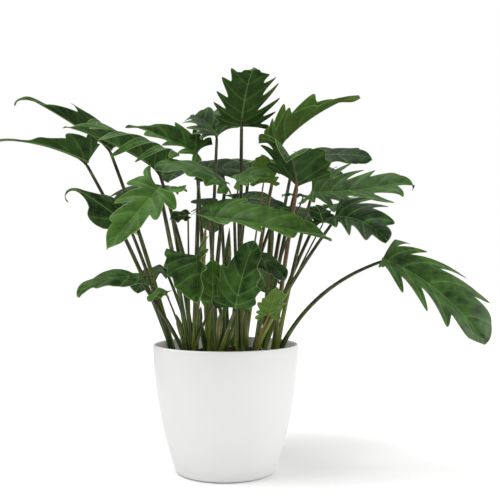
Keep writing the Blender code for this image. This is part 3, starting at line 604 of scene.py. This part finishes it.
def leafMaterial():
    # Waxed leaf skin: satin, not glossy, with pale sunken veins above, a pale margin line that is a painted
    # highlight, and a duller, greyer face below that is also painted darker, as painted shade for the shade
    # under the leaves
    material, tree, shader = newMaterial("philodendronLeaf")
    colours = {name: linearColour(text) for name, text in leafColours.items()}
    place = addNode(tree, "TexCoord", {}, "Object")
    given = {name: addNode(tree, "Attribute", {}, "Fac", attribute_name=name) for name in (
        "ribDistance", "ribStout", "veinPlace", "veinPitch", "marginDistance", "underside", "tone", "youth",
        "blush")}

    # Lateral veins: distance in mm to the nearest one, whose place is a whole number past the phase
    shifted = addNode(tree, "Math", (given["veinPlace"], veinPhase), operation="SUBTRACT")
    nearest = addNode(tree, "Math", (shifted,), operation="ROUND")
    offset = addNode(tree, "Math", (shifted, nearest), operation="SUBTRACT")
    offset = addNode(tree, "Math", (offset,), operation="ABSOLUTE")
    veinGap = addNode(tree, "Math", (offset, given["veinPitch"]), operation="MULTIPLY")

    # The tone is cloudy, and lighter beside each vein
    cloud = addNode(tree, "TexNoise", {"Vector": place, **leafFinish["cloud"]})
    cloudy = addNode(tree, "MapRange", (cloud, *leafFinish["cloudTone"]))
    tone = addNode(tree, "Math", (given["tone"], cloudy), operation="ADD")
    band = addNode(tree, "MapRange", (veinGap, *leafFinish["bandTone"]))
    tone = addNode(tree, "Math", (tone, band), operation="ADD", use_clamp=True)
    sheets = []
    # The lower sheet's green is darker: partly its own colour, partly painted shade
    for dark, light, young in (("dark", "light", "young"), ("underDarkPaintedShade", "under", "youngUnder")):
        green = addNode(tree, "Mix", {0: tone, 6: colours[dark], 7: colours[light]}, **blend)
        sheets.append(addNode(tree, "Mix", {0: given["youth"], 6: green, 7: colours[young]}, **blend))
    skin = addNode(tree, "Mix", {0: given["underside"], 6: sheets[0], 7: sheets[1]}, **blend)

    # Fine veins by their share of the way between two, and the midrib by the share of its half width
    fine = addNode(tree, "Math", (given["veinPlace"], leafFinish["fineVeins"]), operation="MULTIPLY")
    fine = addNode(tree, "Math", (fine, 0.5), operation="PINGPONG")
    stout, ribWidth = given["ribStout"], leafFinish["ribHalfWidth"]
    ribWidth = addNode(tree, "Math", (stout, *ribWidth), operation="MULTIPLY_ADD")
    ribShare = addNode(tree, "Math", (given["ribDistance"], ribWidth), operation="DIVIDE")
    ribColour = addNode(tree, "Mix", {0: given["blush"], 6: colours["vein"], 7: colours["blush"]}, **blend)

    # Each line colours the skin, and the veins sink into it; the pale line along the margin is a painted
    # highlight on the leaf's edge
    cells = addNode(tree, "TexNoise", {"Vector": place, **leafFinish["cells"]})
    rise = addNode(tree, "Math", (cells, leafFinish["cellRise"]), operation="MULTIPLY")
    for kind, distance, colour in (
        ("vein", veinGap, colours["vein"]),
        ("fineVein", fine, colours["vein"]),
        ("rib", ribShare, ribColour),
        ("margin", given["marginDistance"], colours["margin"]),
    ):
        near, far, strength, lift = leafFinish[kind]
        line = addNode(tree, "MapRange", (distance, near, far, 1.0, 0.0), interpolation_type="SMOOTHSTEP")
        share = addNode(tree, "Math", (line, strength), operation="MULTIPLY")
        skin = addNode(tree, "Mix", {0: share, 6: skin, 7: colour}, **blend)
        if lift:
            rise = addNode(tree, "Math", (line, lift, rise), operation="MULTIPLY_ADD")
    relief = addNode(tree, "Bump", {"Height": rise, **leafFinish["relief"]})

    # Wax: smoother above than below, and a little uneven
    patch = addNode(tree, "TexNoise", {"Vector": place, **leafFinish["wax"]})
    above = addNode(tree, "MapRange", (patch, *leafFinish["waxRoughness"]))
    wax = addNode(tree, "Mix", {0: given["underside"], 2: above, 3: leafFinish["underRoughness"]}, 0,
                  data_type="FLOAT")
    setInputs(shader, {"Base Color": skin, "Roughness": wax, "Normal": relief, **leafFinish["finish"]})
    return material


def addBlades():
    # One blade for each row of the table, in the place of the node with its number
    material = leafMaterial()
    total = 0
    for number, leaf in enumerate(leaves, start=1):
        blade = bladeMesh("blade%02d" % number, leaf, number, material)
        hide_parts("blade_%02d" % number)
        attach(blade, "root")
        total += len(blade.data.polygons)
    print("blades:", len(leaves), "with", total, "faces")


addBlades()

# Stalks: petioles, leaves still rolled up, and the short stems that they grow from

stalkSettings = {
    "soilTop": 137.0,
    "crowns": {
        "left": (-60, -8), "left_front": (-40, -38), "front": (-8, -54), "right_front": (28, -46),
        "right": (58, -4), "right_back": (44, 36), "back": (4, 54), "left_back": (-40, 32),
        "left_middle": (-20, -6), "right_middle": (18, 0),
    },
    # Rolled leaves and old sheaths: crown, tip in mm, thickest radius, and how straw coloured
    "spears": (
        ("front", (6, -66, 296), 4.2, 0.0),
        ("left_front", (-22, -54, 300), 3.6, 0.5),
        ("right_back", (60, 52, 322), 3.8, 0.1),
        ("left_front", (-56, -58, 196), 3.4, 0.1),
        ("left_front", (-27, -66, 206), 3.6, 0.0),
        ("front", (-4, -84, 200), 3.8, 0.15),
        ("front", (12, -76, 186), 4.0, 0.05),
        ("right_front", (24, -70, 198), 3.8, 0.1),
        ("right_front", (46, -62, 210), 3.4, 0.0),
    ),
    "rings": 40,
    "sides": 14,
    "bendRings": 12,       # rings of the bend under the blade
    "bendShare": 0.16,     # share of the blade's length that its petiole runs into the midrib
    "bendLength": 16.0,    # mm, the most of that
    "bendPull": 4.5,       # mm, how far the bend first follows the bow
    "jointGap": 0.7,       # mm between the middle of the blade and the petiole's skin where the bow ends
    "jointRun": 3.0,       # mm before the joint where the bow ends
    # Feet: distance in mm of the nearest from the crown's middle, step to the next, and turn in radians
    "foot": (1.6, 1.2, 0.5),
    # Radii of a rolled leaf in mm at shares of its way; its thickest part has its own
    "spearShares": (0, 0.4, 0.55, 0.68, 0.82, 0.94, 1),
    "spearRadii": (3.0, 2.4, 3.0, None, None, 2.0, 0.6),
    # Radii of a petiole in mm at shares of its way, before its end runs into the midrib
    "petioleShares": (0, 0.03, 0.10, 0.25, 0.5, 1),
    "petioleRadii": (4.6, 4.1, 3.5, 2.95, 2.64, 2.0),
    # Channel along the upper side and the ridges beside it: share of the radius, and width in radians
    "channel": (0.16, 0.5),
    "ridges": (0.06, 0.3),
    "ridgeTurn": 0.95,     # radians from the channel's middle
    # The grain's place: units round the stalk, a mm along it, and from one stalk to the next
    "grainSteps": (3, 0.03, 17),
    "thinnest": 0.5,       # share of the radii that a small leaf's petiole has at least
    "inRib": 0.5,          # mm from the middle of the blade to the petiole's end in the midrib
    "endRadius": 0.9,      # mm, of that end
    "spearTint": 0.7,
    "spearShare": 0.4,     # a rolled leaf has the colours of the lower part of a petiole
    "spearFront": (0.2, -1, 0),   # where its seam looks
    "crownRadius": 8.0,
    "crownTop": 148.0,
    "crownBottom": 124.0,
    "domeStart": 0.35,     # share of the crown's height where it starts to close
    "scars": (5, 9, 0.05),   # scars round the crown, their turn in radians up it, and their rise
    "topShare": 0.05,      # of the radius, which the crown's top keeps
    "crownRings": 14,
    "crownSides": 28,
}


def footInCrown(name, end, order):
    # Three neighbours in order start at different distances and sides of their crown's middle
    x, y = stalkSettings["crowns"][name]
    nearest, step, turn = stalkSettings["foot"]
    towards = math.atan2(end[1] - y, end[0] - x) + (order % 3 - 1) * turn
    reach = nearest + step * (order % 3)
    height = stalkSettings["soilTop"] + 1
    return np.array([x + reach * math.cos(towards), y + reach * math.sin(towards), height])


def carryAlong(path, radii, towards, wander):
    # A tube along a path: each ring is a circle square to the way, dented by exp(-(a / width)^2) on the
    # side that starts out towards the given direction, which is carried along without turning about the
    # way.
    sides = stalkSettings["sides"]
    heading = np.gradient(path, axis=0)
    heading /= np.linalg.norm(heading, axis=1)[:, None]
    firsts = []
    first = np.array(towards, float)
    for direction in heading:
        first = first - direction * (first @ direction)
        first = first / np.linalg.norm(first)
        firsts.append(first)
    firsts = np.array(firsts)
    seconds = np.cross(heading, firsts)
    angle = np.linspace(-np.pi, np.pi, sides, endpoint=False)
    depth, width = stalkSettings["channel"]
    dent = 1 - depth * np.exp(-(angle / width) ** 2)
    height, width = stalkSettings["ridges"]
    dent = dent + height * np.exp(-((np.abs(angle) - stalkSettings["ridgeTurn"]) / width) ** 2)
    ring = firsts[:, None] * np.cos(angle)[:, None] + seconds[:, None] * np.sin(angle)[:, None]
    points = path[:, None] + ring * (radii[:, None] * dent)[..., None]
    length = np.concatenate([[0], np.cumsum(np.linalg.norm(np.diff(path, axis=0), axis=1))])
    around, along, apart = stalkSettings["grainSteps"]
    grain = aroundAxis(around, along * length[:, None], angle) + np.array([apart * wander, 0, 0])
    return points, grain


def stalkParts(path, radii, towards, wander, tint, look):
    # One stalk's points, faces and attributes. Its last ring lies half a step past the path's end and is
    # half as wide, so that the tip is round.
    path = np.concatenate([path, path[-1:] + (path[-1:] - path[-2:-1]) * 0.5])
    radii = np.concatenate([radii, radii[-1:] * 0.5])
    grid, grain = carryAlong(path, radii, towards, wander)
    points, faces = closedTube(grid)
    rings, sides = grid.shape[:2]
    share = np.linspace(0, look["shareTop"], rings)[:, None] * np.ones(sides)
    count = len(points)
    attributes = {
        "grain": closedValues(grain),
        "stalkShare": closedValues(share),
        "stalkTone": np.full(count, tint),
        "blush": np.full(count, look["blush"]),
        "straw": np.full(count, look["straw"]),
    }
    return points, faces, attributes


def curveThrough(start, control, end, steps):
    # The quadratic curve start (1-t)^2 + 2 control t (1-t) + end t^2
    t = np.linspace(0, 1, steps)[:, None]
    return start * (1 - t) ** 2 + 2 * control * t * (1 - t) + end * t ** 2


def petioleParts(leaf, order, chance):
    # Up from the crown in one bow, then a short bend that runs into the midrib under the blade
    settings = stalkSettings
    place, forward, right, upper = (array[0] for array in ribFrames(leaf, np.array([0.0])))
    stout = min(max(leaf["length"] / bladeSettings["fullLength"], settings["thinnest"]), 1)
    tip = settings["petioleRadii"][-1] * stout
    x, y = settings["crowns"][leaf["crown"]]
    joint = np.array(leaf["joint"], float)
    chord = joint - np.array([x, y, settings["soilTop"]])
    chord /= np.linalg.norm(chord)
    end = place - upper * (settings["jointGap"] + tip) - chord * settings["jointRun"]
    start = footInCrown(leaf["crown"], end, order)
    chord = end - start
    length = np.linalg.norm(chord)
    chord /= length
    bow = np.array([0, 0, 1]) - chord * chord[2]
    control = (start + end) / 2 + 2 * leaf["arch"] * length * bow
    stem = curveThrough(start, control, end, settings["rings"])
    arrival = end - control
    arrival /= np.linalg.norm(arrival)
    run = min(settings["bendShare"] * leaf["length"], settings["bendLength"])
    last = place + forward * run - upper * settings["inRib"]
    bend = curveThrough(end, end + arrival * settings["bendPull"], last, settings["bendRings"])[1:]
    path = np.concatenate([stem, bend])
    share = np.linspace(0, 1, settings["rings"])
    radii = np.interp(share, settings["petioleShares"], settings["petioleRadii"]) * stout
    tail = np.linspace(tip, settings["endRadius"] * stout, settings["bendRings"])[1:]
    radii = np.concatenate([radii, tail])
    tint, wander = chance.uniform(0, 1), chance.uniform(0, 9)
    look = {"shareTop": 1.0, "blush": leaf["blush"], "straw": leaf["youth"] ** 2}
    return stalkParts(path, radii, bow, wander, tint, look)


def spearParts(crown, tip, thickest, straw, order, chance):
    # A rolled leaf: a straight stalk that swells and ends in a point
    settings = stalkSettings
    end = np.array(tip, float)
    start = footInCrown(crown, end, order)
    rings = settings["rings"]
    path = curveThrough(start, (start + end) / 2, end, rings)
    radii = [thickest if radius is None else radius for radius in settings["spearRadii"]]
    radii = np.interp(np.linspace(0, 1, rings), settings["spearShares"], radii)
    look = {"shareTop": settings["spearShare"], "blush": 0.0, "straw": straw}
    wander = chance.uniform(0, 9)
    return stalkParts(path, radii, settings["spearFront"], wander, settings["spearTint"], look)


def crownParts(name, chance):
    # A short stem: sqrt(1 - h^3) of its radius above the height where its dome starts, with leaf scars
    settings = stalkSettings
    x, y = settings["crowns"][name]
    rings, sides = settings["crownRings"], settings["crownSides"]
    rise = np.linspace(0, 1, rings)[:, None]
    angle = np.linspace(0, 2 * np.pi, sides, endpoint=False)
    start = settings["domeStart"]
    dome = np.sqrt(np.clip(1 - np.clip((rise - start) / (1 - start), 0, 1) ** 3, 0, 1))
    scars, turn, depth = settings["scars"]
    radius = dome * (1 + depth * np.sin(scars * angle + turn * rise)) + settings["topShare"]
    radius = settings["crownRadius"] * radius
    height = settings["crownBottom"] + (settings["crownTop"] - settings["crownBottom"]) * rise
    points, faces = closedTube(aroundAxis(radius, height, sides) + np.array([x, y, 0]))
    count = len(points)
    attributes = {
        "grain": points * 0.3,
        "stalkShare": np.zeros(count),
        "stalkTone": np.full(count, chance.uniform(0.2, 0.6)),
        "blush": np.zeros(count),
        "straw": np.zeros(count),
    }
    return points, faces, attributes


def joinParts(parts):
    # Several point, face and attribute sets as one, with the point numbers of each moved past the last
    starts = np.cumsum([0] + [len(points) for points, faces, attributes in parts])
    points = np.concatenate([part[0] for part in parts])
    faces = [group + start for part, start in zip(parts, starts) for group in part[1]]
    attributes = {name: np.concatenate([part[2][name] for part in parts]) for name in parts[0][2]}
    return points, faces, attributes


# A living stalk of firm green tissue under a smooth skin
petioleColours = {
    "foot": "#83923a",
    "green": "#26470f",
    "middle": "#2f3414",
    "top": "#1e150f",
    "blush": "#6b4636",
    "straw": "#a08c48",
    "streak": "#98a562",
}
petioleFinish = {
    "finish": {"Specular IOR Level": 0.25},
    # Between which shares of the way up the olive and then the brown set in
    "middle": (0.02, 0.45),
    "top": (0.3, 0.75),
    "deep": (0.3, 0.65),          # between which of its tones a foot turns from yellow green to deep green
    "grain": {"Scale": 1.4, "Detail": 3.0},
    "streak": (0.54, 0.66, 0.0, 0.7),         # range of the grain, and how pale the streaks are there
    "roughness": (0.3, 0.7, 0.38, 0.55),
    "relief": {"Strength": 0.4, "Distance": 0.4 * mm},
}


def petioleMaterial():
    # Smooth living stalk: yellow green at the foot, then olive, dark brown at the top, streaked lengthwise
    material, tree, shader = newMaterial("philodendronPetiole")
    given = {name: addNode(tree, "Attribute", {}, "Fac", attribute_name=name)
             for name in ("stalkShare", "stalkTone", "blush", "straw")}
    grain = addNode(tree, "Attribute", {}, 1, attribute_name="grain")
    deep, climb, ascent = (
        addNode(tree, "MapRange", (given[source], *petioleFinish[span], 0.0, 1.0))
        for source, span in (("stalkTone", "deep"), ("stalkShare", "middle"), ("stalkShare", "top")))
    blush = addNode(tree, "Math", (given["blush"], climb), operation="MULTIPLY")
    streak = addNode(tree, "TexNoise", {"Vector": grain, **petioleFinish["grain"]})
    light = addNode(tree, "MapRange", (streak, *petioleFinish["streak"]))
    skin = linearColour(petioleColours["foot"])
    for share, name in ((deep, "green"), (climb, "middle"), (ascent, "top"), (blush, "blush"),
                        (given["straw"], "straw"), (light, "streak")):
        colour = linearColour(petioleColours[name])
        skin = addNode(tree, "Mix", {0: share, 6: skin, 7: colour}, **blend)
    rough = addNode(tree, "MapRange", (streak, *petioleFinish["roughness"]))
    relief = addNode(tree, "Bump", {"Height": streak, **petioleFinish["relief"]})
    setInputs(shader, {"Base Color": skin, "Roughness": rough, "Normal": relief, **petioleFinish["finish"]})
    return material


def addStalks():
    # Each crown with its petioles and its rolled leaves as one piece
    material = petioleMaterial()
    total = 0
    for turn, name in enumerate(stalkSettings["crowns"]):
        chance = np.random.default_rng(seed + turn)
        mine = [leaf for leaf in leaves if leaf["crown"] == name]
        parts = [crownParts(name, chance)]
        parts += [petioleParts(leaf, order, chance) for order, leaf in enumerate(mine)]
        spears = [spear for spear in stalkSettings["spears"] if spear[0] == name]
        parts += [spearParts(*spear, len(mine) + order, chance) for order, spear in enumerate(spears)]
        points, faces, attributes = joinParts(parts)
        title = "stalks" + "".join(word.capitalize() for word in name.split("_"))
        piece = writeMesh(title, points, faces, attributes, material)
        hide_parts("crown_" + name)
        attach(piece, "root")
        total += len(piece.data.polygons)
    print("stalks:", total, "faces")


addStalks()

# Pot

potSettings = {
    # Outer wall: heights and radii in mm
    "heights": (4, 15, 32, 54, 76, 104, 130, 154),
    "radii": (62.0, 66.6, 71.4, 76.9, 81.9, 85.9, 88.6, 89.8),
    "rim": 157.0,
    "wall": 4.0,
    "floor": 5.0,
    "flatRings": (20.0, 50.0),    # radii of the rings of the flat that it stands on
    "floorRings": (54.0, 20.0),   # radii of the rings of the floor
    "corner": 4.0,        # mm, rise of the slope between the floor and the wall
    "heel": 6.0,          # radius of the rounded bottom edge
    "heelTurns": np.linspace(-90, -12, 8),   # degrees round it, from the flat to the wall
    "lipTurns": (25, 50, 75, 105, 130, 155),
    "rows": 40,
    "sides": 144,
}
potFinish = {
    "glaze": ("#e0e0df", "#e4e4e3"),
    # Painted light: a paler white for the lip and the inside, where the plant's shade falls
    "inner": "#fafafa",
    "cloud": {"Scale": 25.0, "Detail": 2.0},    # cells of about 40 mm
    "grit": {"Scale": 2000.0, "Detail": 1.0},   # grit of about 0.5 mm, coarser than real, so that it shows
    "roughness": (0.3, 0.7, 0.5, 0.6),
    "relief": {"Strength": 0.15, "Distance": 0.1 * mm},
}


def potMaterial():
    # Matt white glaze with a fine grain, which gives broad soft highlights; the lip and the inside are
    # painted paler, painted light that lifts the shade the plant casts there
    material, tree, shader = newMaterial("mattGlazedCeramic")
    place = addNode(tree, "TexCoord", {}, "Object")
    cloud = addNode(tree, "TexNoise", {"Vector": place, **potFinish["cloud"]})
    darker, paler = (linearColour(text) for text in potFinish["glaze"])
    skin = addNode(tree, "Mix", {0: cloud, 6: darker, 7: paler}, **blend)
    # The lip and the inside take the paler white of the painted light
    inner = addNode(tree, "Attribute", {}, "Fac", attribute_name="inner")
    skin = addNode(tree, "Mix", {0: inner, 6: skin, 7: linearColour(potFinish["inner"])}, **blend)
    grit = addNode(tree, "TexNoise", {"Vector": place, **potFinish["grit"]})
    rough = addNode(tree, "MapRange", (grit, *potFinish["roughness"]))
    relief = addNode(tree, "Bump", {"Height": grit, **potFinish["relief"]})
    setInputs(shader, {"Base Color": skin, "Roughness": rough, "Normal": relief})
    return material


def addPot():
    # The wall's radius is a curve of the fourth degree in its height, fitted to the measured radii. The
    # heel and the lip are arcs, (r cos a, r sin a) about their centres. The profile is closed on the
    # pot's axis.
    settings = potSettings
    wallCurve = np.polyfit(settings["heights"], settings["radii"], 4)
    wall, heel, floor = settings["wall"], settings["heel"], settings["floor"]
    lip = wall / 2
    heights = np.linspace(heel, settings["rim"] - lip, settings["rows"])
    outer = np.polyval(wallCurve, heights)
    turns = np.radians(settings["heelTurns"])
    profile = [(ring, 0) for ring in settings["flatRings"]]
    reach = outer[0] + heel * (np.cos(turns) - math.cos(turns[-1]))
    profile += list(zip(reach, heel + heel * np.sin(turns)))
    profile += list(zip(outer, heights))
    outside = len(profile)
    turns = np.radians(settings["lipTurns"])
    profile += list(zip(outer[-1] - lip + lip * np.cos(turns), settings["rim"] - lip + lip * np.sin(turns)))
    inside = heights[::-1]
    inside = inside[inside > floor + settings["corner"]]
    profile += list(zip(np.polyval(wallCurve, inside) - wall, inside))
    profile += [(ring, floor) for ring in settings["floorRings"]]
    radius, height = np.array(profile, float).T[:, :, None]
    grid = aroundAxis(radius, height, settings["sides"])
    points, faces = closedTube(grid)
    # The lip and the inside are marked for the paler white of the painted light
    inner = np.broadcast_to((np.arange(len(profile)) >= outside)[:, None], grid.shape[:2])
    attributes = {"inner": closedValues(inner.astype(float))}
    pot = writeMesh("potShell", points, faces, attributes, potMaterial())
    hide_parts("pot")
    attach(pot, "root")
    print("pot:", len(pot.data.polygons), "faces")
    return wallCurve


wallCurve = addPot()

# Soil

soilSettings = {
    "top": 137.0,
    "bottom": 5.4,
    "heap": 12.0,          # mm, how much higher the soil lies among the crowns than along the wall
    "slack": 4.4,          # mm from the outside of the pot's wall to the soil
    "insets": (0.5, 0.4),  # mm more than that along the top and under it
    "foot": (52.0, 10.0),  # mm, radius at the bottom, and height where the wall takes over
    "dips": (1.0, 3.0),    # mm from the top's level down to its rings and to the wall's highest ring
    "ringPower": 0.8,      # under 1 the rings lie closer near the wall
    "lumpFade": 6.0,       # mm from the wall where the lumps are full
    "lumps": 1.4,          # mm, height of the lumps
    "waves": (4, 30, 40),  # mm, shortest and longest wave of the lumps, and how many there are
    "rings": 60,
    "wallRings": 20,
    "sides": 144,
    "crumbs": 420,
    "crumbSize": (0.9, 2.4),
    "crumbStretch": (0.6, 1.2),
    "crumbBumps": (0.8, 1.1),
    "crumbEdge": 4.0,      # mm from the wall without crumbs
    "crumbSink": 0.6,      # mm
    "crumbCap": 0.5,       # radians from a pole to the first ring
    "crumbRings": 4,
    "crumbSides": 8,
}
soilFinish = {
    "finish": {"Roughness": 0.95, "Specular IOR Level": 0.2},
    "peat": ("#1d140e", "#4a3625"),
    "grain": {"Scale": 500.0, "Detail": 5.0, "Roughness": 0.7},   # fibres about 2 mm long
    "fibre": (0.4, 0.7, 0.0, 1.0),
    "relief": {"Strength": 1.0, "Distance": 1.0 * mm},
}


def lumpHeight(x, y, draw):
    # The sum of waves of random direction, each as high as it is long, over its greatest value
    total = np.zeros_like(x)
    for wavelength in np.geomspace(*soilSettings["waves"]):
        angle, phase = draw.uniform(0, 2 * np.pi, 2)
        along = x * np.cos(angle) + y * np.sin(angle)
        total += np.sin(2 * np.pi * along / wavelength + phase) * wavelength
    return total / np.abs(total).max()


def heapHeight(radius, topRadius):
    # The top rises from the wall to the middle by the heap times 1 - (r / R)^3
    return soilSettings["heap"] * (1 - (radius / topRadius) ** 3)


def soilMaterial():
    # Moist peat: nearly black brown, rough, with paler fibres
    material, tree, shader = newMaterial("peatSoil")
    place = addNode(tree, "TexCoord", {}, "Object")
    grain = addNode(tree, "TexNoise", {"Vector": place, **soilFinish["grain"]})
    fibre = addNode(tree, "MapRange", (grain, *soilFinish["fibre"]))
    darker, paler = (linearColour(text) for text in soilFinish["peat"])
    peat = addNode(tree, "Mix", {0: fibre, 6: darker, 7: paler}, **blend)
    relief = addNode(tree, "Bump", {"Height": grain, **soilFinish["relief"]})
    setInputs(shader, {"Base Color": peat, "Normal": relief, **soilFinish["finish"]})
    return material


def addSoil():
    # A top of rings with lumps on its heap, a wall that follows the pot's inside, and crumbs on the top
    settings = soilSettings
    draw = np.random.default_rng(seed)
    sides, top, slack = settings["sides"], settings["top"], settings["slack"]
    topInset, wallInset = settings["insets"]
    topDip, wallDip = settings["dips"]
    topRadius = np.polyval(wallCurve, top) - slack - topInset
    inward = np.linspace(1, 0.002, settings["rings"])[:, None] ** settings["ringPower"] * topRadius
    heap = aroundAxis(inward, top - topDip + heapHeight(inward, topRadius), sides)
    x, y, level = np.moveaxis(heap, -1, 0)
    fade = np.clip((topRadius - inward) / settings["lumpFade"], 0, 1)
    level = level + settings["lumps"] * fade * lumpHeight(x, y, draw)
    heights = np.linspace(settings["bottom"], top - wallDip, settings["wallRings"])[:, None]
    foot, footTop = settings["foot"]
    radii = np.polyval(wallCurve, np.maximum(heights, footTop)) - slack - wallInset
    radii = np.where(heights < footTop, foot, radii)
    wall = aroundAxis(radii, heights, sides)
    points, faces = closedTube(np.concatenate([wall, np.stack([x, y, level], axis=-1)]))

    # Crumbs: small lumpy balls of rings of points, pressed into the top
    cap = settings["crumbCap"]
    polar = np.linspace(cap, np.pi - cap, settings["crumbRings"])[:, None]
    ball, ballFaces = closedTube(aroundAxis(np.sin(polar), -np.cos(polar), settings["crumbSides"]))
    count = settings["crumbs"]
    reach = np.sqrt(draw.uniform(0, 1, count)) * (topRadius - settings["crumbEdge"])
    around = draw.uniform(0, 2 * np.pi, count)
    size = draw.uniform(*settings["crumbSize"], count)
    level = top - settings["crumbSink"] + heapHeight(reach, topRadius)
    spot = np.stack([reach * np.cos(around), reach * np.sin(around), level], axis=-1)
    stretch = draw.uniform(*settings["crumbStretch"], (count, 1, 3))
    bumps = draw.uniform(*settings["crumbBumps"], (count, len(ball), 1))
    crumbs = spot[:, None] + ball * bumps * stretch * size[:, None, None]
    firsts = (np.arange(count) * len(ball))[:, None, None] + len(points)
    faces += [(group + firsts).reshape(-1, group.shape[1]) for group in ballFaces]
    points = np.concatenate([points, crumbs.reshape(-1, 3)])
    soil = writeMesh("pottingSoil", points, faces, {}, soilMaterial())
    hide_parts("soil")
    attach(soil, "root")
    print("soil:", len(soil.data.polygons), "faces")


addSoil()
